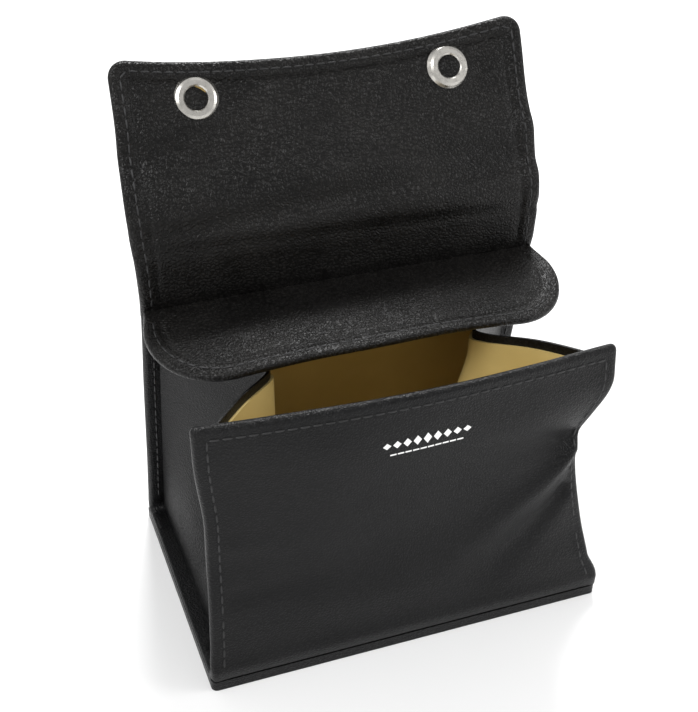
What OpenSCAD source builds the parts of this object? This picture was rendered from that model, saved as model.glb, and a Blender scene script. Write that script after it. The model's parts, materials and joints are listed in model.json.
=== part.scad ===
/* [Box] */
// Width of the purse across the side seams
body_w = 105; // [95:1:115]
// Depth of the base from back to front, inside
base_d = 64; // [58:1:68]
// Height of the back panel along its slope
back_h = 77; // [72:1:82]
// Height of the front panel along its slope
front_h = 71; // [66:1:74]
// Height of the soft crease across the front panel
waist_h = 36; // [32:1:40]
// Forward lean of the back panel, in degrees
back_lean = 10; // [8:1:12]
// Inward lean of the front panel, in degrees
front_lean = 5; // [3:1:6]

/* [Lid] */
// Length of the lid's spine, from its hinge to the cover
spine_l = 15; // [13:1:18]
// Length of the lid's cover
cover_l = 45.5; // [42:0.5:48]
// Backward lean of the spine, in degrees
spine_lean = 2; // [0:1:4]
// Backward lean of the cover, in degrees
cover_lean = 32; // [28:1:36]
// Length of the inner flap
flap_l = 26; // [22:1:28]
// Downward slope of the inner flap, in degrees
flap_droop = 7; // [6:1:8]

/* [Leather and studs] */
// Thickness of the outer leather
leather_t = 1.0; // [0.8:0.1:1.2]
// Thickness of the stiffening board
board_t = 0.6; // [0.4:0.1:0.8]
// Thickness of the lining
lining_t = 0.8; // [0.6:0.1:1.0]
// Height of the turned hem under the base
hem_t = 1.8; // [1.6:0.1:2.0]
// How far each gusset folds inwards
gusset_in = 22; // [18:1:26]
// Distance between the two press studs
stud_pitch = 65; // [60:1:74]
// Radius of a press stud's cap and ring
stud_r = 5.6; // [5:0.1:6]

/* [Hidden] */
$fn = 48;
wall_t = leather_t + board_t + lining_t;
base_z = hem_t + wall_t;       // height of the inside of the base
seam_w = 4;                    // sewn margin outside the gussets
hem_w = 5;                     // width of the turned hem
corner_r = 4;                  // corners of the lid and rims
flap_r = 17;                   // rounded ends of the inner flap
fold_gap = 2.6;                // leather left out for the lid's fold
crease_gap = 1.0;              // the same at the softer creases
edge_gap = 0.8;                // the same at the front's lower edge
hinge_out = 0.5;               // the lid folds this far outside the wall's middle
snap_inset = 14;               // stud centre to the cover's free edge
post_r = 1.6;                  // rivet through the leather
post_hole_r = 1.65;            // its hole
ring_h = 1.5;                  // height of the socket ring
ring_hole_r = 2.9;             // opening that takes the stud's head
knob_h = 1.5;                  // height of the stud's head below the base
knob_r = 2.6;                  // radius of the stud's head
stud_from_back = 42;           // stud centre to the back, along the base
plate_t = 0.5;                 // height of the rivet plates inside

// Points in the side view: [distance in front of the back's foot, height].
function along(p, a, l) = [p[0] + l*cos(a), p[1] + l*sin(a)];
function beside(p, a, l) = [p[0] + l*sin(a), p[1] - l*cos(a)];
back_a = 90 - back_lean;
front_a = 90 + front_lean;
spine_a = 90 + spine_lean;
cover_a = 90 + cover_lean;
knee = [0, base_z];
front_foot = [base_d, base_z];
back_top = along(knee, back_a, back_h);
lid_axis = beside(along(knee, back_a, back_h + 0.3), back_a, -wall_t/2 - hinge_out);
cover_axis = beside(along(lid_axis, spine_a, spine_l), spine_a, hinge_out);
waist_axis = beside(along(front_foot, front_a, waist_h), front_a, wall_t/2);
flap_axis = beside(along(knee, back_a, back_h - 3.5), back_a, 1.8);
lid_top = beside(along(cover_axis, cover_a, cover_l), cover_a, -wall_t/2);
front_edge = base_d + wall_t;
// The frame's origin is the middle of the whole outline, at the bottom.
mid_n = (front_edge + lid_top[0])/2;

// Stands what is drawn flat on a panel: x across, y along the panel, z out of its face.
module on_panel(p, a) {
    translate([0, mid_n - p[0], p[1]]) rotate([180 - a, 0, 0]) children();
}

// A leather sheet from y0 to y1 with rounded far corners, between two depths.
module sheet(w, y0, y1, z0, z1, r) {
    translate([0, 0, z0]) linear_extrude(z1 - z0) intersection() {
        translate([-w/2, y0]) square([w, y1 - y0]);
        union() {
            translate([-w/2, y0]) square([w, y1 - y0 - r]);
            translate([-w/2 + r, y0]) square([w - 2*r, y1 - y0]);
            for (s = [-1, 1]) translate([s*(w/2 - r), y1 - r]) circle(r);
        }
    }
}

// The two places of the press studs across the width.
module at_stud(side) {
    translate([side*stud_pitch/2, 0, 0]) children();
}

// Holes for both rivets, cut through whatever is drawn.
module riveted(y) {
    difference() {
        children();
        for (s = [-1, 1]) at_stud(s) translate([0, y, -10]) cylinder(r = post_hole_r, h = 20);
    }
}

// Back panel: leather outside, board, lining inside.
module back_sheet(z0, z1, w) {
    on_panel(knee, back_a) sheet(w, 0.6, back_h, z0, z1, 1);
}
module back_leather() { color("#1b1b1d") back_sheet(-wall_t, -lining_t - board_t, body_w); }
module back_board() { color("#8a7f6a") back_sheet(-lining_t - board_t, -lining_t, body_w); }
module back_lining() { color("#b59a55") back_sheet(-lining_t, 0, body_w); }

// Base panel with the turned hem that it stands on.
module base_sheet(z0, z1) {
    riveted(stud_from_back) sheet(body_w, -wall_t, front_edge, z0, z1, 1.5);
}
module base_leather() {
    color("#1b1b1d") on_panel(knee, 0) {
        base_sheet(lining_t + board_t, wall_t);
        difference() {
            sheet(body_w, -wall_t, front_edge, wall_t, base_z, 1.5);
            translate([-body_w/2 + hem_w, hem_w - wall_t, wall_t - 1])
                cube([body_w - 2*hem_w, front_edge + wall_t - 2*hem_w, base_z]);
        }
    }
}
module base_board() { color("#8a7f6a") on_panel(knee, 0) base_sheet(lining_t, lining_t + board_t); }
module base_lining() { color("#b59a55") on_panel(knee, 0) base_sheet(0, lining_t); }

// Stud under the base: flange, waisted neck and head, with its rivet through the base.
module stud(side) {
    color("silver") on_panel(knee, 0) at_stud(side) translate([0, stud_from_back, 0]) {
        cylinder(r = post_r, h = wall_t);
        translate([0, 0, wall_t]) rotate_extrude()
            polygon([[0, 0], [stud_r - 0.6, 0], [stud_r - 0.9, 0.4], [knob_r - 0.6, 0.4],
                     [knob_r - 0.6, 0.7], [knob_r, 1.0], [knob_r - 0.3, knob_h], [0, knob_h]]);
    }
}
module stud_left() { stud(-1); }
module stud_right() { stud(1); }

// Rivet plate inside the base.
module stud_plate(side) {
    color("silver") on_panel(knee, 0) at_stud(side) translate([0, stud_from_back, -plate_t])
        cylinder(r = stud_r - 0.6, h = plate_t);
}
module stud_plate_left() { stud_plate(-1); }
module stud_plate_right() { stud_plate(1); }

// Side gusset: a lower triangle and two upper halves that meet in an inward fold.
gusset_x = body_w/2 - seam_w;
gusset_t = 0.9;
gusset_gap = 0.5;
function gusset_points(side, depth) = [for (p = [
    [0, along([base_d - gusset_gap, base_z + 0.3], front_a, 0)],
    [0, along([gusset_gap, base_z + 0.3], back_a, 0)],
    [0, along([gusset_gap, base_z + 0.3], back_a, back_h - 8)],
    [gusset_in, [base_d/2 + 1, base_z + front_h - 14]],
    [0, along([base_d - gusset_gap, base_z + 0.3], front_a, front_h - 4)],
    [gusset_in, [base_d/2 - 1, base_z + 24]]])
    [side*(gusset_x - p[0] - depth), mid_n - p[1][0], p[1][1]]];
module gusset(side, d0, d1) {
    front = [[0, 1, 5], [1, 2, 3], [1, 3, 5], [0, 5, 3], [0, 3, 4]];
    rim = [0, 1, 2, 3, 4];
    skin = concat([for (f = front) f],
                  [for (f = front) [for (i = [2, 1, 0]) f[i] + 6]],
                  [for (i = [0:4]) let (a = rim[i], b = rim[(i + 1) % 5]) [b, a, a + 6]],
                  [for (i = [0:4]) let (a = rim[i], b = rim[(i + 1) % 5]) [b, a + 6, b + 6]]);
    turned = side > 0 ? [for (f = skin) [f[2], f[1], f[0]]] : skin;
    polyhedron(concat(gusset_points(side, d0), gusset_points(side, d1)), turned);
}
module gusset_left_leather() { color("#1b1b1d") gusset(-1, 0, gusset_t); }
module gusset_left_lining() { color("#b59a55") gusset(-1, gusset_t, 2*gusset_t); }
module gusset_right_leather() { color("#1b1b1d") gusset(1, 0, gusset_t); }
module gusset_right_lining() { color("#b59a55") gusset(1, gusset_t, 2*gusset_t); }

// Front panel, in two halves that meet at the crease.
front_lining_t = wall_t - leather_t;
module front_lower(z0, z1) {
    on_panel(front_foot, front_a) sheet(body_w, edge_gap, waist_h - 0.1, z0, z1, 0.1);
}
module front_upper(z0, z1) {
    on_panel(front_foot, front_a)
        sheet(body_w, waist_h + crease_gap, front_h, z0, z1, 2);
}
module front_lower_leather() { color("#1b1b1d") front_lower(front_lining_t, wall_t); }
module front_lower_lining() { color("#b59a55") front_lower(0, front_lining_t); }
module front_upper_leather() { color("#1b1b1d") front_upper(front_lining_t, wall_t); }
module front_upper_lining() { color("#b59a55") front_upper(0, front_lining_t); }

// Lid spine, from the fold above the back to the fold of the cover.
lid_in = wall_t/2 + hinge_out;      // inner face from the lid's axis
lid_out = lid_in - wall_t;          // outer face from the lid's axis
module spine(z0, z1) {
    on_panel(lid_axis, spine_a) sheet(body_w, fold_gap, spine_l - 0.2, z0, z1, 0.1);
}
module lid_spine_leather() { color("#1b1b1d") spine(lid_out, lid_out + leather_t); }
module lid_spine_lining() { color("#242326") spine(lid_out + leather_t, lid_in); }

// Lid cover, which carries the press-stud sockets.
cover_in = wall_t/2;
module cover(z0, z1, w, l) {
    riveted(cover_l - snap_inset) sheet(w, crease_gap*1.5, l, z0, z1, corner_r);
}
module on_cover() { on_panel(cover_axis, cover_a) children(); }
module lid_cover_leather() {
    color("#1b1b1d") on_cover() cover(-cover_in, leather_t - cover_in, body_w, cover_l);
}
module lid_cover_board() {
    color("#8a7f6a") on_cover() cover(leather_t - cover_in, leather_t + board_t - cover_in, body_w, cover_l);
}
module lid_cover_lining() {
    color("#242326") on_cover() cover(leather_t + board_t - cover_in, cover_in, body_w, cover_l);
}

// Domed cap on the outside of the cover, with its rivet.
module snap_cap(side) {
    color("silver") on_cover() at_stud(side) translate([0, cover_l - snap_inset, 0]) {
        translate([0, 0, -cover_in]) cylinder(r = post_r, h = 2*cover_in);
        translate([0, 0, -cover_in]) mirror([0, 0, 1]) rotate_extrude()
            polygon([[0, 0], [stud_r, 0], [stud_r, 0.3], [stud_r - 1, 0.8], [stud_r - 3, 1.1], [0, 1.2]]);
    }
}
module snap_cap_left() { snap_cap(-1); }
module snap_cap_right() { snap_cap(1); }

// Socket ring on the inside of the cover.
module snap_ring(side) {
    color("silver") on_cover() at_stud(side) translate([0, cover_l - snap_inset, cover_in])
        rotate_extrude() polygon([[ring_hole_r, 0], [stud_r, 0], [stud_r, 0.4], [stud_r - 0.7, ring_h - 0.3],
                                  [stud_r - 1.3, ring_h], [ring_hole_r + 0.3, ring_h], [ring_hole_r, ring_h - 0.3]]);
}
module snap_ring_left() { snap_ring(-1); }
module snap_ring_right() { snap_ring(1); }

// Brass spring washer seated in the socket ring.
module snap_spring(side) {
    color("#a08040") on_cover() at_stud(side) translate([0, cover_l - snap_inset, cover_in]) difference() {
        cylinder(r = ring_hole_r, h = 0.5);
        translate([0, 0, -1]) cylinder(r = ring_hole_r - 1.2, h = 3);
    }
}
module snap_spring_left() { snap_spring(-1); }
module snap_spring_right() { snap_spring(1); }

// Inner flap over the rear of the mouth.
module inner_flap(z0, z1) {
    on_panel(flap_axis, -flap_droop) sheet(body_w + 3, 0.7, flap_l, z0, z1, flap_r);
}
module inner_flap_leather() { color("#1b1b1d") inner_flap(-1.0, 0); }
module inner_flap_lining() { color("#242326") inner_flap(0, 0.8); }

back_leather();
back_board();
back_lining();
base_leather();
base_board();
base_lining();
stud_left();
stud_right();
stud_plate_left();
stud_plate_right();
gusset_left_leather();
gusset_left_lining();
gusset_right_leather();
gusset_right_lining();
front_lower_leather();
front_lower_lining();
front_upper_leather();
front_upper_lining();
lid_spine_leather();
lid_spine_lining();
lid_cover_leather();
lid_cover_board();
lid_cover_lining();
snap_cap_left();
snap_cap_right();
snap_ring_left();
snap_ring_right();
snap_spring_left();
snap_spring_right();
inner_flap_leather();
inner_flap_lining();
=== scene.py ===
"""Looks of a small leather box purse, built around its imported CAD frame."""
import json
import math

import bmesh
import bpy
from mathutils import Matrix, Vector, noise

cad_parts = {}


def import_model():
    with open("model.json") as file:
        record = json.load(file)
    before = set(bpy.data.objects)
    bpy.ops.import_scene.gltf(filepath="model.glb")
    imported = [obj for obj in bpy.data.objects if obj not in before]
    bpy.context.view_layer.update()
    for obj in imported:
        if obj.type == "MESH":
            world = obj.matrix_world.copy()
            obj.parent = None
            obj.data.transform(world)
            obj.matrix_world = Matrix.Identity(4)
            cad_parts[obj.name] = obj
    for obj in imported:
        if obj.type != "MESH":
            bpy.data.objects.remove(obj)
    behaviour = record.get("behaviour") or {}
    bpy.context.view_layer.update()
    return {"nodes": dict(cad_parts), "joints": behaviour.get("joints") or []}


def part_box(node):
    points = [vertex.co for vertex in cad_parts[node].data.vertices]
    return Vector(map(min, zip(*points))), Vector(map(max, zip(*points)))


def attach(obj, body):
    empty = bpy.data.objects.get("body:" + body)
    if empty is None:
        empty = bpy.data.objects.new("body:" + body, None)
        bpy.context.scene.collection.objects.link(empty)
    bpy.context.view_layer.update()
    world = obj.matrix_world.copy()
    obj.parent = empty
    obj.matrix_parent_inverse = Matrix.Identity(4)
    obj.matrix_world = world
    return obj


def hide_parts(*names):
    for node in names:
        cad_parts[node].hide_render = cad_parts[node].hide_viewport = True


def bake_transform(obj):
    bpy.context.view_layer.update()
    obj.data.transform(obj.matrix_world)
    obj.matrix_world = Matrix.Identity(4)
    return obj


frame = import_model()

# ---------------------------------------------------------------- frame, in millimetres
MM = 0.001
WALL = 2.4           # thickness of a panel, all its layers
LINER = 0.9          # thickness of the tan lining
BACK_A = 80          # slopes of the panels in the side view, in degrees, as in the CAD model
FRONT_A = 95
COVER_A = 122
FLAP_A = -7
SEAM = 4             # sewn margin outside the gussets
BACK_H = 77
FRONT_H = 71
COVER_L = 45.5
FLAP_L = 26
SNAP_INSET = 14

JOINT = {j["name"]: Vector(j["pos_m"]) / MM for j in frame["joints"]}
BASE_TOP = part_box("base_lining")[1] / MM
KNEE_Y = BASE_TOP.y - WALL
BASE_Z = BASE_TOP.z
BASE_D = KNEE_Y - JOINT["front_fold"].y
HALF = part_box("back_leather")[1].x / MM
GUSSET_X = HALF - SEAM
LINER_X = GUSSET_X - 1.2
STUD_X = (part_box("snap_ring_right")[0].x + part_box("snap_ring_right")[1].x) / 2 / MM


def side(v):
    """A row-frame point as (distance in front of the back's foot, height)."""
    return KNEE_Y - v.y, v.z


def world(x, n, z):
    """A place in the row frame, in metres, from millimetres across, forward and up."""
    return Vector((x, KNEE_Y - n, z)) * MM


def along(p, a, l):
    """The side-view point at a distance l from p in direction a."""
    return p[0] + l * math.cos(math.radians(a)), p[1] + l * math.sin(math.radians(a))


def beside(p, a, l):
    """The side-view point at a distance l from p, square to direction a."""
    return p[0] + l * math.sin(math.radians(a)), p[1] - l * math.cos(math.radians(a))


KNEE = (0.0, BASE_Z)
FOOT = (BASE_D, BASE_Z)
LID_N, LID_Z = side(JOINT["lid_hinge"])
COV_N, COV_Z = side(JOINT["cover_fold"])
SPINE_L = math.hypot(COV_N - LID_N, COV_Z - LID_Z)
SPINE_A = math.degrees(math.atan2(COV_Z - LID_Z, COV_N - LID_N))
WAIST = math.hypot(side(JOINT["waist_fold"])[0] - FOOT[0], side(JOINT["waist_fold"])[1] - FOOT[1])


def bell(v, middle, width):
    """1 at the middle, fading to 0 on both sides."""
    return math.exp(-((v - middle) / width) ** 2)


def ramp(v, a, b):
    """0 up to a, 1 from b on, smooth between."""
    t = min(1.0, max(0.0, (v - a) / (b - a)))
    return t * t * (3 - 2 * t)


def rough_noise(x, u, sx, su, seed):
    """Smooth unevenness between about -1 and 1, the same on every run."""
    return noise.noise(Vector((x * sx + seed, u * su, seed * 1.7)))


# ---------------------------------------------------------------- paths and panels
class Path:
    """A line in the side view: straight runs joined by round bends, measured from its start."""

    def __init__(self, corners):
        pts = [Vector(corners[0][:2])]
        for (a, b, c) in zip(corners, corners[1:], corners[2:]):
            p, q, r = Vector(a[:2]), Vector(b[:2]), Vector(c[:2])
            d0, d1 = (q - p).normalized(), (r - q).normalized()
            turn = d0.angle_signed(d1)
            reach = b[2] * math.tan(abs(turn) / 2)
            steps = max(2, int(abs(math.degrees(turn)) / 6))
            start, end = q - d0 * reach, q + d1 * reach
            for i in range(steps + 1):
                t = i / steps
                pts.append(start.lerp(q, t).lerp(q.lerp(end, t), t))
        pts.append(Vector(corners[-1][:2]))
        self.pts = pts
        self.len = [0.0]
        for p, q in zip(pts, pts[1:]):
            self.len.append(self.len[-1] + (q - p).length)

    def point(self, u):
        i = max(1, next((k for k, l in enumerate(self.len) if l > u), len(self.len) - 1))
        span = max(1e-9, self.len[i] - self.len[i - 1])
        return self.pts[i - 1].lerp(self.pts[i], (u - self.len[i - 1]) / span)

    def frame_at(self, u):
        d = (self.point(min(u + 0.7, self.len[-1])) - self.point(max(u - 0.7, 0.0))).normalized()
        return self.point(u), d, Vector((d.y, -d.x))


EDGE_STEPS = (0, 0.08, 0.25, 0.55, 0.95, 1.5, 2.2, 3.0, 3.7, 4.3, 4.8, 5.3, 6.0, 7.2)


def spread(length, free_start, free_end, step=1.3):
    """Places from 0 to length, close together at a free edge."""
    first = list(EDGE_STEPS) if free_start else [0.0]
    last = [length - e for e in EDGE_STEPS] if free_end else [length]
    a, b = first[-1], last[-1]
    count = max(1, round((b - a) / step))
    middle = [a + (b - a) * i / count for i in range(1, count)]
    return first + middle + last[::-1]


class Panel:
    """A leather sheet on a path, between two depths, with rounded free edges."""

    def __init__(self, path, u0, u1, half, radius=2.0, low=None, high=None, warp=None,
                 free_start=False, free_end=False, edge=1.1):
        self.path, self.u0, self.u1, self.half, self.radius = path, u0, u1, half, radius
        self.low, self.high, self.warp = low, high, warp
        self.free_start, self.free_end, self.edge = free_start, free_end, edge

    def inset(self, x, u):
        """Distance to the nearest free edge."""
        dx = self.half - abs(x)
        ends = ([self.u1 - u] if self.free_end else []) + ([u - self.u0] if self.free_start else [])
        du = min(ends) if ends else 1e3
        r = self.radius
        if dx < r and du < r:
            return r - math.hypot(r - dx, r - du)
        return min(dx, du)

    def reach(self, u):
        """Half width at u, less at rounded corners."""
        ends = ([self.u1 - u] if self.free_end else []) + ([u - self.u0] if self.free_start else [])
        du = min(ends) if ends else 1e3
        r = self.radius
        return self.half if du >= r else self.half - r + math.sqrt(max(0.0, r * r - (r - du) ** 2))

    def at(self, x, u, face, lift=0.0):
        """The point on a face: 1 is the high face, -1 the low one."""
        e = max(0.0, self.inset(x, u))
        k = math.sqrt(max(0.0, 1 - (1 - min(e / self.edge, 1)) ** 2))
        lo, hi = self.low(x, u, e), self.high(x, u, e)
        w = (lo + hi) / 2 + face * (hi - lo) / 2 * k + face * lift
        dx, dw, du = self.warp(x, u)
        p, d, out = self.path.frame_at(max(0.0, u - du))
        q = p + out * (w + dw)
        return world(x + dx, q.x, q.y)

    def build(self, name, material):
        rows = [self.u0 + v for v in spread(self.u1 - self.u0, self.free_start, self.free_end)]
        cols = [v / self.half - 1 for v in spread(2 * self.half, True, True)]
        bm = bmesh.new()
        grids = []
        for face in (1, -1):
            grids.append([[bm.verts.new(self.at(s * self.reach(u), u, face)) for s in cols] for u in rows])
        skin(bm, *grids)
        return finish_mesh(name, bm, material)


def skin(bm, top, low):
    """Faces over two grids of vertices, and round the rim between them."""
    n, m = len(top), len(top[0])
    for i in range(n - 1):
        for j in range(m - 1):
            bm.faces.new((top[i][j], top[i][j + 1], top[i + 1][j + 1], top[i + 1][j]))
            bm.faces.new((low[i][j], low[i + 1][j], low[i + 1][j + 1], low[i][j + 1]))
    rim = [(i, 0) for i in range(n)] + [(n - 1, j) for j in range(1, m)]
    rim += [(i, m - 1) for i in range(n - 2, -1, -1)] + [(0, j) for j in range(m - 2, 0, -1)]
    for a, b in zip(rim, rim[1:] + rim[:1]):
        bm.faces.new((top[a[0]][a[1]], top[b[0]][b[1]], low[b[0]][b[1]], low[a[0]][a[1]]))


def finish_mesh(name, bm, material, merge=2e-6, sharp=55):
    """A smooth-shaded object from a mesh, with its sharp edges kept."""
    bmesh.ops.remove_doubles(bm, verts=bm.verts, dist=merge)
    bmesh.ops.dissolve_degenerate(bm, edges=bm.edges, dist=merge)
    bmesh.ops.recalc_face_normals(bm, faces=bm.faces)
    mesh = bpy.data.meshes.new(name)
    bm.to_mesh(mesh)
    bm.free()
    for f in mesh.polygons:
        f.use_smooth = True
    mesh.set_sharp_from_angle(angle=math.radians(sharp))
    obj = bpy.data.objects.new(name, mesh)
    bpy.context.scene.collection.objects.link(obj)
    mesh.materials.append(material)
    return obj


# ---------------------------------------------------------------- materials
def shader(name, rough, metal=0.0, **sockets):
    mat = bpy.data.materials.new(name)
    mat.use_nodes = True
    nodes, links = mat.node_tree.nodes, mat.node_tree.links
    b = nodes["Principled BSDF"]
    b.inputs["Roughness"].default_value = rough
    b.inputs["Metallic"].default_value = metal
    for key, value in sockets.items():
        b.inputs[key.replace("_", " ")].default_value = value
    coord = nodes.new("ShaderNodeTexCoord")
    return mat, nodes, links, b, coord.outputs["Object"]


def texture(nodes, links, kind, coord, scale, **values):
    t = nodes.new(kind)
    links.new(coord, t.inputs["Vector"])
    t.inputs["Scale"].default_value = scale
    for key, value in values.items():
        t.inputs[key].default_value = value
    return t


def colour_mix(nodes, links, fac, low, high, a, b):
    """A colour ramp from a to b while fac goes from low to high."""
    r = nodes.new("ShaderNodeValToRGB")
    r.color_ramp.elements[0].position, r.color_ramp.elements[1].position = low, high
    r.color_ramp.elements[0].color, r.color_ramp.elements[1].color = (*a, 1), (*b, 1)
    links.new(fac, r.inputs["Fac"])
    return r.outputs["Color"]


def bump(nodes, links, height, strength, distance, before=None):
    n = nodes.new("ShaderNodeBump")
    n.inputs["Strength"].default_value = strength
    n.inputs["Distance"].default_value = distance
    links.new(height, n.inputs["Height"])
    if before is not None:
        links.new(before, n.inputs["Normal"])
    return n.outputs["Normal"]


def leather(name, cell, depth, dark, light, rough):
    """Grained leather: pebbles of about cell metres, parted by fine furrows."""
    mat, nodes, links, b, coord = shader(name, rough[0], Specular_IOR_Level=0.2)
    wobble = texture(nodes, links, "ShaderNodeTexNoise", coord, 0.9 / cell, Detail=3)
    shift = nodes.new("ShaderNodeVectorMath")
    shift.operation = "MULTIPLY_ADD"
    links.new(wobble.outputs["Color"], shift.inputs[0])
    shift.inputs[1].default_value = (cell * 1.1,) * 3
    links.new(coord, shift.inputs[2])
    cells = texture(nodes, links, "ShaderNodeTexVoronoi", shift.outputs["Vector"], 1 / cell)
    cells.feature = "DISTANCE_TO_EDGE"
    furrow = nodes.new("ShaderNodeMapRange")
    furrow.interpolation_type = "SMOOTHSTEP"
    furrow.inputs["From Max"].default_value = 0.34
    links.new(cells.outputs["Distance"], furrow.inputs["Value"])
    fine = texture(nodes, links, "ShaderNodeTexNoise", coord, 5 / cell, Detail=5)
    wide = texture(nodes, links, "ShaderNodeTexNoise", coord, 70, Detail=4)
    n0 = bump(nodes, links, wide.outputs["Fac"], 0.35, 0.0012)
    n1 = bump(nodes, links, fine.outputs["Fac"], 0.35, 0.00006, n0)
    links.new(bump(nodes, links, furrow.outputs["Result"], depth, 0.00022, n1), b.inputs["Normal"])
    base = colour_mix(nodes, links, wide.outputs["Fac"], 0.35, 0.7, dark, light)
    grain = colour_mix(nodes, links, furrow.outputs["Result"], 0.0, 1.0, (0.35, 0.35, 0.36), (1, 1, 1))
    mix = nodes.new("ShaderNodeMix")
    mix.data_type, mix.blend_type = "RGBA", "MULTIPLY"
    mix.inputs["Factor"].default_value = 1.0
    links.new(base, mix.inputs["A"])
    links.new(grain, mix.inputs["B"])
    links.new(mix.outputs["Result"], b.inputs["Base Color"])
    r = nodes.new("ShaderNodeMapRange")
    r.inputs["To Min"].default_value, r.inputs["To Max"].default_value = rough
    links.new(wide.outputs["Fac"], r.inputs["Value"])
    links.new(r.outputs["Result"], b.inputs["Roughness"])
    return mat


def metal(name, tint, rough):
    mat, nodes, links, b, coord = shader(name, rough, 1.0)
    fine = texture(nodes, links, "ShaderNodeTexNoise", coord, 900, Detail=6)
    links.new(colour_mix(nodes, links, fine.outputs["Fac"], 0.3, 0.7, [c * 0.86 for c in tint], tint),
              b.inputs["Base Color"])
    r = nodes.new("ShaderNodeMapRange")
    r.inputs["To Min"].default_value, r.inputs["To Max"].default_value = rough * 0.7, rough * 1.5
    links.new(fine.outputs["Fac"], r.inputs["Value"])
    links.new(r.outputs["Result"], b.inputs["Roughness"])
    links.new(bump(nodes, links, fine.outputs["Fac"], 0.15, 0.00004), b.inputs["Normal"])
    return mat


def plain(name, dark, light, scale, rough, depth):
    """Smooth or fibrous surface with slight colour variation."""
    mat, nodes, links, b, coord = shader(name, rough)
    grain = texture(nodes, links, "ShaderNodeTexNoise", coord, scale, Detail=6)
    wide = texture(nodes, links, "ShaderNodeTexNoise", coord, 45, Detail=3)
    links.new(colour_mix(nodes, links, wide.outputs["Fac"], 0.3, 0.7, dark, light), b.inputs["Base Color"])
    links.new(bump(nodes, links, grain.outputs["Fac"], depth, 0.00008), b.inputs["Normal"])
    return mat


BLACK = leather("black_leather", cell=0.00075, depth=0.45, dark=(0.0035, 0.0035, 0.004),
                light=(0.008, 0.008, 0.0085), rough=(0.30, 0.46))
GRAIN = leather("grained_leather", cell=0.00095, depth=0.55, dark=(0.006, 0.0055, 0.005),
                light=(0.013, 0.012, 0.011), rough=(0.27, 0.40))
TAN = plain("tan_lining", (0.50, 0.37, 0.13), (0.60, 0.46, 0.18), 1400, 0.55, 0.3)
THREAD = plain("black_thread", (0.006, 0.006, 0.006), (0.014, 0.014, 0.015), 4000, 0.5, 0.5)
NICKEL = metal("nickel", (0.62, 0.60, 0.56), 0.26)
BRASS = metal("brass", (0.60, 0.43, 0.17), 0.32)
FOIL = metal("silver_foil", (0.86, 0.86, 0.85), 0.30)


def dress(node, mat):
    """Give a CAD node that stays visible its material."""
    cad = frame["nodes"][node]
    cad.data.materials.clear()
    cad.data.materials.append(mat)


for word in ("left", "right"):
    for part in ("stud", "stud_plate", "snap_cap", "snap_ring"):
        dress(f"{part}_{word}", NICKEL)
    dress(f"snap_spring_{word}", BRASS)
dress("base_leather", BLACK)

# ---------------------------------------------------------------- camera
FOCAL_PX = 1300
IMAGE_W = 698
YAW, PITCH, ROLL = 20.75, 34.45, 1.22
cam_data = bpy.data.cameras.new("camera")
cam_data.sensor_width = 36
cam_data.lens = FOCAL_PX / IMAGE_W * 36
cam = bpy.data.objects.new("camera", cam_data)
bpy.context.scene.collection.objects.link(cam)
cam.location = Vector((-101, -256.6, 251)) * MM
cam.rotation_mode = "QUATERNION"
turn = Matrix.Rotation(math.radians(-YAW), 4, "Z") @ Matrix.Rotation(math.radians(90 - PITCH), 4, "X")
cam.rotation_quaternion = (turn @ Matrix.Rotation(math.radians(ROLL), 4, "Z")).to_quaternion()
bpy.context.scene.camera = cam

# ---------------------------------------------------------------- panels
hinge_in = along(KNEE, BACK_A, BACK_H + 0.3)
spine_end = along(hinge_in, SPINE_A, SPINE_L)
cover_end = along(spine_end, COVER_A, COVER_L)
BACK_START = 9.0
back_path = Path([(BACK_START, BASE_Z, 0), (*KNEE, 1.5), (*hinge_in, 9), (*spine_end, 16), (*cover_end, 0)])
front_path = Path([(BASE_D - BACK_START, BASE_Z, 0), (*FOOT, 1.5), (*along(FOOT, FRONT_A, FRONT_H), 0)])
U_HINGE = BACK_START + BACK_H - 0.6
U_JOIN = U_HINGE - 5
U_MID = U_HINGE + SPINE_L / 2
U_COVER = U_HINGE + SPINE_L
U_LID = back_path.len[-1]
F_TOP = front_path.len[-1]
F_MID = BACK_START + WAIST / 2


def front_warp(x, u):
    """The side edges pull in and back at the crease, more on the right, and the rim bows out."""
    v = u - BACK_START
    pinch = ramp(v, -14, 45) * ramp(v, 1, 8) * (1 - ramp(v, 42, 62))
    side_pull = (1.0 if x > 0 else 0.2) * (abs(x) / HALF) ** 3 * pinch
    bow = 2.2 * (1 - (x / HALF) ** 2) * ramp(v, 15, FRONT_H)
    sag = -1.2 * bell(v, WAIST - 4, 14) * (1 - 0.5 * abs(x) / HALF)
    fold = ridge(x, v, (50, 43), (6, 14), 3.6) * 2.4 + ridge(x, v, (50, 46), (2, 50), 3.6) * -1.2
    fold += ridge(x, v, (46, 30), (14, 6), 3.2) * -1.9
    fold += ridge(x, v, (-46, 22), (-10, 24), 3.5) * -0.7 + ridge(x, v, (-47, 36), (-18, 33), 3.0) * 0.5
    soft = 1.5 * rough_noise(x, v, 0.03, 0.055, 3.1) * ramp(v, 2, 14)
    return -math.copysign(8.0, x) * side_pull, -3.0 * side_pull + bow + sag + soft + fold, 0.0


def ridge(x, v, a, b, width):
    """A soft crest from a, where it is high, fading out at b."""
    p, q = Vector(a), Vector(b)
    d = q - p
    t = min(1.0, max(0.0, (Vector((x, v)) - p).dot(d) / d.length_squared))
    gap = (Vector((x, v)) - (p + d * t)).length
    return bell(gap, 0, width * (0.7 + t)) * (1 - t) ** 0.8


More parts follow.
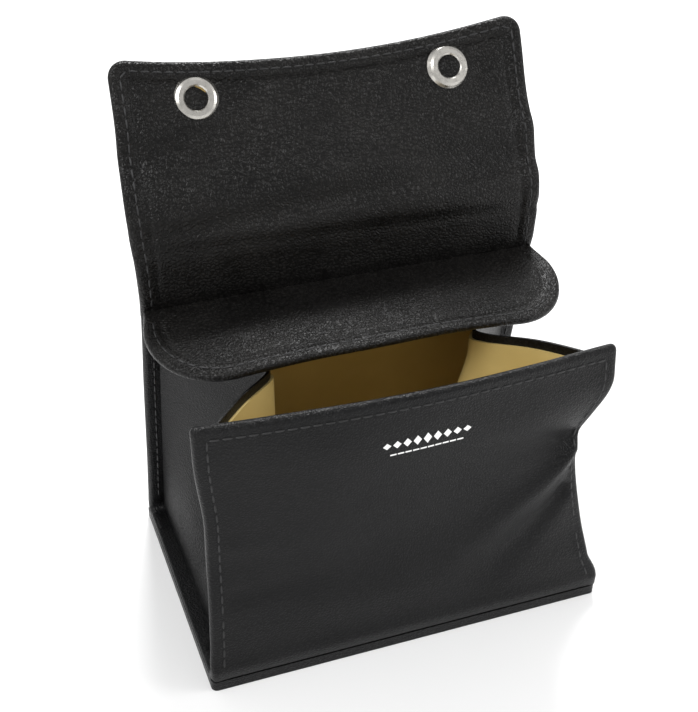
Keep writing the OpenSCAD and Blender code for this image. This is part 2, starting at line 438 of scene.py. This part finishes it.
def lid_warp(x, u):
    """The cover's corners curl forward, and soft hollows run across it."""
    v = ramp(u, U_MID, U_LID)
    curl = 3.4 * (abs(x) / HALF) ** 2.4 * v * v
    swell = 1.3 * bell(u, U_COVER + 12, 12) * (1 - (x / HALF) ** 2)
    waves = 1.1 * rough_noise(x, u, 0.028, 0.085, 8.4) * ramp(u, U_HINGE, U_COVER)
    crease = -0.9 * bell(u - 0.05 * x, U_COVER + 4, 2.4) - 0.5 * bell(u + 0.04 * x, U_COVER - 4, 1.4)
    crease += 0.7 * bell(u - 0.09 * x, U_COVER + 11, 3.0) * ramp(x, -50, 20)
    crease -= 0.5 * bell(u + 0.12 * x, U_COVER + 16, 2.5)
    spread_out = math.copysign(1.2, x) * (abs(x) / HALF) ** 3 * bell(u, U_COVER + 8, 18)
    dip = (1.6 + 4.0 * (1 - (x / HALF) ** 2)) * ramp(u, U_COVER + 4, U_LID)
    return spread_out, curl + swell + waves + crease, dip


def back_warp(x, u):
    """Slight unevenness, fading out at the foot and at the lid."""
    fade = ramp(u, 12, 30) * (1 - ramp(u, U_JOIN - 25, U_JOIN))
    return 0.0, 0.8 * rough_noise(x, u, 0.03, 0.05, 5.5) * fade, 0.0


def border(e, width=4.3, raised=0.3, groove=0.42):
    """Turned edge: a raised band, then a furrow beside it."""
    return raised * (1 - ramp(e, width - 0.5, width + 0.2)) - groove * bell(e, width + 0.5, 0.55)


def stitched(e, line=2.7):
    """The shallow furrow that a row of stitches pulls into the leather."""
    return -0.16 * bell(e, line, 0.45)


def near_snap(x, u):
    """The dimple that a press stud pulls into the lid."""
    d = math.hypot(abs(x) - STUD_X, u - (U_LID - SNAP_INSET + 1.5))
    return -0.5 * bell(d, 7.5, 2.6) - 0.25 * bell(d, 13, 3)


def lid_low(x, u, e):
    """Outside face of the lid."""
    return -WALL - 0.1 * bell(e, 2, 2) - stitched(e)


def lid_high(x, u, e):
    """Inside face of the lid."""
    return border(e) * ramp(u, U_JOIN, U_JOIN + 6) + stitched(e) + near_snap(x, u)


def back_low(x, u, e):
    """Outside face of the back, thick enough at its foot to reach the hem."""
    return -WALL - (BASE_Z - WALL - 0.05) * (1 - ramp(u, 3, BACK_START + 5)) - stitched(e)


def back_high(x, u, e):
    """Inside face of the back, set down where the lining lies."""
    return -LINER * ramp(LINER_X + 0.5 - abs(x), 0, 0.6)


def front_low(x, u, e):
    """Inside face of the front, set down where the lining lies."""
    return LINER * ramp(LINER_X + 0.5 - abs(x), 0, 0.6) * (1 - ramp(u, F_TOP - 4, F_TOP - 3.5))


def front_high(x, u, e):
    """Outside face of the front, thick enough at its foot to reach the hem."""
    roll = (BASE_Z - WALL - 0.05) * (1 - ramp(u, 3, BACK_START + 5))
    return WALL + roll + stitched(e, 3.2) + 0.12 * (1 - ramp(e, 3.6, 4.6))


def bend_zone(start, end):
    """Where a blended piece begins and ends its bend, from two side-view points."""
    return {"start": world(0, *start), "end": world(0, *end)}


HINGE_BEND = bend_zone(along(KNEE, BACK_A, BACK_H - 4), along(hinge_in, SPINE_A, 5))
COVER_BEND = bend_zone(along(spine_end, SPINE_A, -5), along(spine_end, COVER_A, 7))
FOOT_BEND = bend_zone((FOOT[0], FOOT[1] - 1.5), along(FOOT, FRONT_A, 4))
WAIST_BEND = bend_zone(along(FOOT, FRONT_A, WAIST - 7), along(FOOT, FRONT_A, WAIST + 7))


def bent(obj):
    """Bake a piece's transform into its mesh."""
    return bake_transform(obj)


back_panel = Panel(back_path, 0, U_JOIN, HALF, low=back_low, high=back_high, warp=back_warp)
lid_root = Panel(back_path, U_JOIN, U_MID, HALF, low=lid_low, high=lid_high, warp=lid_warp)
lid_cover = Panel(back_path, U_MID, U_LID, HALF, 5.0, low=lid_low, high=lid_high, warp=lid_warp,
                  free_end=True, edge=1.3)
front_lower = Panel(front_path, 0, F_MID, HALF, low=front_low, high=front_high, warp=front_warp)
front_upper = Panel(front_path, F_MID, F_TOP, HALF, 1.5, low=front_low, high=front_high,
                    warp=front_warp, free_end=True)

back_shell = back_panel.build("back_shell", BLACK)
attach(back_shell, "box")
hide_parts("back_leather", "back_board")
root_shell = bent(lid_root.build("lid_root_shell", GRAIN))
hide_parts("lid_spine_leather", "lid_spine_lining")
cover_shell = bent(lid_cover.build("lid_cover_shell", GRAIN))
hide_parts("lid_cover_leather", "lid_cover_lining", "lid_cover_board")
lower_shell = bent(front_lower.build("front_lower_shell", BLACK))
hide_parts("front_lower_leather")
upper_shell = bent(front_upper.build("front_upper_shell", BLACK))
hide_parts("front_upper_leather")


def liner(path, u0, u1, warp, sign, **more):
    """A tan lining sheet on the inside face of a panel."""
    lo, hi = (0.02, LINER - 0.02) if sign > 0 else (-LINER + 0.02, -0.02)
    return Panel(path, u0, u1, LINER_X, low=lambda x, u, e: lo, high=lambda x, u, e: hi, warp=warp,
                 edge=0.4, **more)


back_liner = liner(back_path, BACK_START + 0.6, U_JOIN + 2, back_warp, -1).build("back_liner", TAN)
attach(back_liner, "box")
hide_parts("back_lining")
lower_liner = liner(front_path, BACK_START + 0.6, F_MID, front_warp, 1).build("front_lower_liner", TAN)
bent(lower_liner)
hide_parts("front_lower_lining")
upper_liner = liner(front_path, F_MID, F_TOP - 3.8, front_warp, 1).build("front_upper_liner", TAN)
bent(upper_liner)
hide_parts("front_upper_lining")


def slab(name, lo, hi, edge, material):
    """A box with rounded edges, given by its corners in (x, n, z)."""
    a, b = world(*lo), world(*hi)
    bm = bmesh.new()
    bmesh.ops.create_cube(bm, size=1)
    for v in bm.verts:
        v.co = Vector([(p + q) / 2 + c * abs(q - p) for p, q, c in zip(a, b, v.co)])
    bmesh.ops.bevel(bm, geom=bm.edges[:], offset=edge * MM, segments=4, profile=0.5, affect="EDGES")
    piece = finish_mesh(name, bm, material)
    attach(piece, "box")
    return piece


BOARD_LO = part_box("base_board")[0].z / MM
CORE_END = 1.5       # from the foot of the back or front to the black core of the base
LINER_END = 2.2
LINER_SIDE = 3.5     # from the gusset seam to the base's lining
base_core = slab("base_core_shell",
                 (-HALF + 0.1, CORE_END, BOARD_LO - 0.3),
                 (HALF - 0.1, BASE_D - CORE_END, BASE_Z - 0.15), 0.5, BLACK)
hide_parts("base_board")
base_liner = slab("base_liner",
                  (-GUSSET_X + LINER_SIDE, LINER_END, BASE_Z - 0.7),
                  (GUSSET_X - LINER_SIDE, BASE_D - LINER_END, BASE_Z + 0.1), 0.2, TAN)
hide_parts("base_lining")

# ---------------------------------------------------------------- inner flap
flap_root = side(JOINT["inner_flap_hinge"])
flap_path = Path([(*along(flap_root, FLAP_A, -3.5), 0), (*along(flap_root, FLAP_A + 4, FLAP_L * 0.45), 30),
                  (*along(flap_root, FLAP_A, FLAP_L), 0)])
FLAP_END = flap_path.len[-1]


def flap_warp(x, u):
    """The flap narrows at its root, dips in the middle and lifts at its ends."""
    v = u / FLAP_END
    ends = 2.6 * (abs(x) / HALF) ** 3 * v
    middle = -1.0 * (1 - (x / HALF) ** 2) * v
    taper = -math.copysign(1.7, x) * (abs(x) / HALF) ** 6 * (1 - ramp(u, 0, 11))
    return taper, ends + middle + 0.7 * rough_noise(x, u, 0.04, 0.09, 12.2) * v, 0.0


flap_panel = Panel(flap_path, 0, FLAP_END, HALF + 1.5, 18,
                   low=lambda x, u, e: -1.0 - border(e, 4.0, 0.22, 0.3) - stitched(e),
                   high=lambda x, u, e: 0.8, warp=flap_warp, free_end=True, edge=0.9)
flap_shell = flap_panel.build("inner_flap_shell", GRAIN)
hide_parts("inner_flap_leather", "inner_flap_lining")
FLAP_BEND = bend_zone(along(flap_root, FLAP_A, -2.5), along(flap_root, FLAP_A, 5))
bent(flap_shell)


# ---------------------------------------------------------------- gussets
GUSSET_IN = 22       # how far a gusset's fold reaches in
FOLD_ROUND = 0.0015  # roundness of the fold
MOUTH_DIP = 3.5      # how far the fold dips at the mouth


def gusset_point(hand, s, v, depth):
    """A point on a gusset: s from the rear seam to the front one, v from its foot to its mouth."""
    rise_b, rise_f = -0.8 + v * (BACK_H - 7.2), -0.8 + v * (FRONT_H - 2.2)
    fx, fw, _ = front_warp(hand * GUSSET_X, BACK_START + rise_f)
    rear = along((0.4, BASE_Z), BACK_A, rise_b)
    front = beside(along((BASE_D - 0.4, BASE_Z), FRONT_A, rise_f), FRONT_A, fw)
    peak = 0.5 + 0.03 * math.sin(5 * v)
    t = s / peak if s < peak else (1 - s) / (1 - peak)
    inward = GUSSET_IN * ramp(v, -0.02, 0.5) * (1 - math.sqrt((1 - t) ** 2 + FOLD_ROUND))
    crumple = 0.5 * rough_noise(s * 60, v * 70, 0.07, 0.05, 20 + hand) * math.sin(math.pi * s)
    n = rear[0] + (front[0] - rear[0]) * s
    z = rear[1] + (front[1] - rear[1]) * s - MOUTH_DIP * v * bell(s, peak, 0.22)
    x = GUSSET_X - max(0.0, inward) - crumple * v - depth
    return world(hand * x + fx * s, n, z)


def gusset(name, hand, d0, d1, top, material):
    """A closed folded sheet between two depths."""
    cols = [i / 44 for i in range(45)]
    rows = [top * i / 52 for i in range(53)]
    bm = bmesh.new()
    grids = []
    for d in (d0, d1):
        grids.append([[bm.verts.new(gusset_point(hand, s, v, d)) for s in cols] for v in rows])
    skin(bm, *grids)
    piece = finish_mesh(name, bm, material)
    return bent(piece)


for word, hand in (("left", -1), ("right", 1)):
    hide = gusset(f"gusset_{word}_shell", hand, 0.0, 0.9, 1.0, BLACK)
    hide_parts(f"gusset_{word}_leather")
    tan = gusset(f"gusset_{word}_liner", hand, 0.9, 1.7, 0.965, TAN)
    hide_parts(f"gusset_{word}_lining")


# ---------------------------------------------------------------- stitching
STITCH = 2.9         # from one stitch to the next
STITCH_L = 2.2
THREAD_R = 0.27


def stitch_row(bm, line):
    """Short sunk threads along a polyline of world points."""
    run = [0.0]
    for p, q in zip(line, line[1:]):
        run.append(run[-1] + (q - p).length / MM)

    def place(l):
        i = max(1, next((k for k, r in enumerate(run) if r > l), len(run) - 1))
        return line[i - 1].lerp(line[i], (l - run[i - 1]) / max(1e-9, run[i] - run[i - 1]))

    for k in range(int(run[-1] / STITCH)):
        a = place((k + 0.15) * STITCH)
        b = place((k + 0.15) * STITCH + STITCH_L)
        axis = (b - a).normalized()
        u = axis.orthogonal().normalized()
        w = axis.cross(u)
        rings = []
        for t, r in ((0, 0.35), (0.12, 0.8), (0.3, 1.0), (0.7, 1.0), (0.88, 0.8), (1, 0.35)):
            c = a.lerp(b, t)
            rings.append([bm.verts.new(c + (u * math.cos(g) + w * math.sin(g)) * THREAD_R * r * MM)
                          for g in (math.tau * i / 8 for i in range(8))])
        for p, q in zip(rings, rings[1:]):
            for i in range(8):
                bm.faces.new((p[i], p[(i + 1) % 8], q[(i + 1) % 8], q[i]))
        bm.faces.new(rings[0][::-1])
        bm.faces.new(rings[-1])


def threads(name, panel, face, inset, u0, u1, across=False, lift=0.02):
    """Stitches along both sides of a panel, and across its end round the corners if asked."""
    bm = bmesh.new()
    x = panel.half - inset
    if across:
        r = max(0.5, panel.radius - inset)
        top = u1 - inset
        pts = [(-x, u) for u in steps(u0, top - r)]
        pts += [(-x + r - r * math.cos(g), top - r + r * math.sin(g)) for g in steps(0, math.pi / 2, 0.2)]
        pts += [(v, top) for v in steps(-x + r, x - r)]
        pts += [(x - r + r * math.sin(g), top - r + r * math.cos(g)) for g in steps(0, math.pi / 2, 0.2)]
        pts += [(x, u) for u in steps(top - r, u0)]
        lines = [pts]
    else:
        lines = [[(s * x, u) for u in steps(u0, u1)] for s in (-1, 1)]
    for pts in lines:
        stitch_row(bm, [panel.at(px, pu, face, lift) for px, pu in pts])
    return finish_mesh(name, bm, THREAD, merge=1e-8)


def steps(a, b, gap=1.0):
    """Evenly spaced values from a to b, about a gap apart."""
    count = max(1, int(abs(b - a) / gap))
    return [a + (b - a) * i / count for i in range(count + 1)]


OVER_HINGE = ("box", "lid_spine", HINGE_BEND)
OVER_COVER = ("lid_spine", "lid_cover", COVER_BEND)
OVER_FOOT = ("box", "front_lower", FOOT_BEND)
OVER_WAIST = ("front_lower", "front_upper", WAIST_BEND)
OVER_FLAP = ("box", "inner_flap", FLAP_BEND)
STITCHES = [
    ("threads_lid_inside", lid_cover, 1, 2.7, U_MID, U_LID, True, OVER_COVER),
    ("threads_lid_outside", lid_cover, -1, 2.7, U_MID, U_LID, True, OVER_COVER),
    ("threads_root_inside", lid_root, 1, 2.7, U_JOIN, U_MID, False, OVER_HINGE),
    ("threads_root_outside", lid_root, -1, 2.7, U_JOIN, U_MID, False, OVER_HINGE),
    ("threads_front_upper", front_upper, 1, 3.2, F_MID, F_TOP, True, OVER_WAIST),
    ("threads_front_lower", front_lower, 1, 3.2, BACK_START + 2, F_MID, False, OVER_FOOT),
    ("threads_flap", flap_panel, -1, 2.7, 6, FLAP_END, True, OVER_FLAP),
]
for name, panel, face, inset, u0, u1, across, (a, b, bend) in STITCHES:
    piece = threads(name, panel, face, inset, u0, u1, across)
    bent(piece)
for name, face in (("threads_back_outside", -1), ("threads_back_inside", 1)):
    piece = threads(name, back_panel, face, 2.7, BACK_START + 4, U_JOIN)
    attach(piece, "box")


# ---------------------------------------------------------------- foil ornament on the front
def foil_ornament():
    """A plain band of lozenges with a thin rule below it, pressed into the leather."""
    bm = bmesh.new()
    middle_x, line_u = 2.0, F_TOP - 12.5

    def patch(outline):
        ring = [front_upper.at(px, pu, 1, 0.05) for px, pu in outline]
        back = [front_upper.at(px, pu, 1, -0.12) for px, pu in outline]
        top, low = [bm.verts.new(p) for p in ring], [bm.verts.new(p) for p in back]
        bm.faces.new(top)
        bm.faces.new(low[::-1])
        for i in range(len(top)):
            j = (i + 1) % len(top)
            bm.faces.new((top[i], low[i], low[j], top[j]))

    for k in range(-4, 5):
        half_h = 1.5 - 0.16 * abs(k)
        cx = middle_x + k * 2.55
        patch([(cx - 1.05, line_u), (cx, line_u - half_h), (cx + 1.05, line_u), (cx, line_u + half_h)])
    for k in range(-5, 5):
        x0 = middle_x + k * 1.9 + 0.15
        patch([(x0, line_u - 2.9), (x0 + 1.6, line_u - 2.9), (x0 + 1.6, line_u - 2.5), (x0, line_u - 2.5)])
    return finish_mesh("foil_ornament", bm, FOIL, merge=1e-8)


bent(foil_ornament())

# ---------------------------------------------------------------- floor and light
floor_mesh = bpy.data.meshes.new("floor")
floor_mesh.from_pydata([(-3, -3, 0), (3, -3, 0), (3, 3, 0), (-3, 3, 0)], [], [(0, 1, 2, 3)])
floor = bpy.data.objects.new("floor", floor_mesh)
floor.location.z = -0.0001
bpy.context.scene.collection.objects.link(floor)
floor_mat, _, _, floor_bsdf, _ = shader("floor", 0.55)
floor_bsdf.inputs["Base Color"].default_value = (0.88, 0.88, 0.88, 1)
floor_mesh.materials.append(floor_mat)

lit = bpy.data.worlds.new("studio")
lit.use_nodes = True
lit.node_tree.nodes["Background"].inputs["Color"].default_value = (1, 1, 1, 1)
lit.node_tree.nodes["Background"].inputs["Strength"].default_value = 0.62
bpy.context.scene.world = lit


def area_light(name, place, aim, size, power):
    data = bpy.data.lights.new(name, "AREA")
    data.size, data.energy = size, power
    lamp = bpy.data.objects.new(name, data)
    bpy.context.scene.collection.objects.link(lamp)
    lamp.location = place
    lamp.rotation_euler = (Vector(aim) - Vector(place)).to_track_quat("-Z", "Y").to_euler()


area_light("key", (-0.45, -0.2, 0.6), (0, 0, 0.06), 0.3, 3.6)
area_light("back", (0.2, 0.5, 0.7), (0, 0, 0.08), 0.3, 7.0)
area_light("right", (0.5, -0.25, 0.35), (0, 0, 0.04), 0.25, 1.2)
bpy.context.scene.view_settings.view_transform = "Standard"
